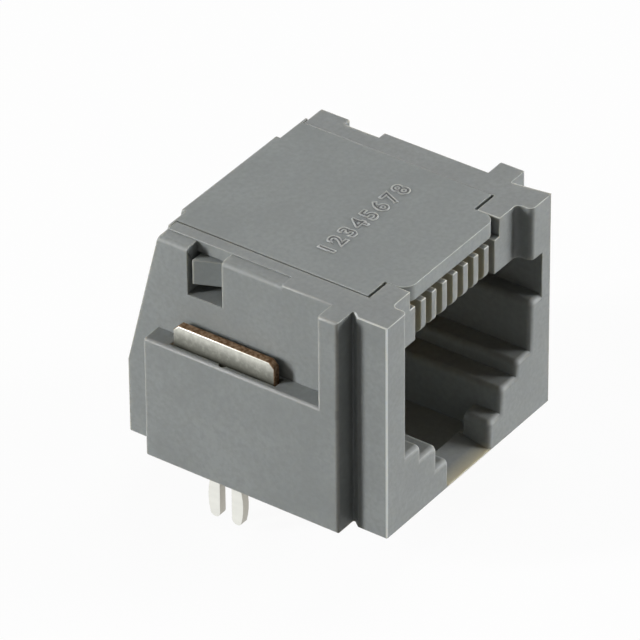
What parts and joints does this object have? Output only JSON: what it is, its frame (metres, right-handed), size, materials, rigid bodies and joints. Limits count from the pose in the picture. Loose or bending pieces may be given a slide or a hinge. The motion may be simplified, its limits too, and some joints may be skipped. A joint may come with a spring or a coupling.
{
  "type": "ethernet jack",
  "caption": "Right-angle board jack for a modular network plug, latch towards the board, grey moulded housing, keyed plug opening, tin-plated board locks",
  "frame": {"origin": "on the board face, half way between the two board locks", "axes": "+X to the right seen from the plug side, +Y away from the plug opening, +Z away from the board"},
  "size_m": [0.0182, 0.0182, 0.0173],
  "materials": {
    "housing_plastic": "fine moulded texture, lighter worn edges",
    "insert_plastic": "fine moulded texture",
    "contact_metal": "smooth plated strip",
    "lock_tin": "bright tin plate with bare sheared edges"
  },
  "bodies": {
    "root": {"housing": "housing_plastic", "contact_insert": "insert_plastic", "contact_1": "contact_metal", "contact_2": "contact_metal", "contact_3": "contact_metal", "contact_4": "contact_metal", "contact_5": "contact_metal", "contact_6": "contact_metal", "contact_7": "contact_metal", "contact_8": "contact_metal", "board_lock_left": "lock_tin", "board_lock_right": "lock_tin"}
  },
  "joints": []
}
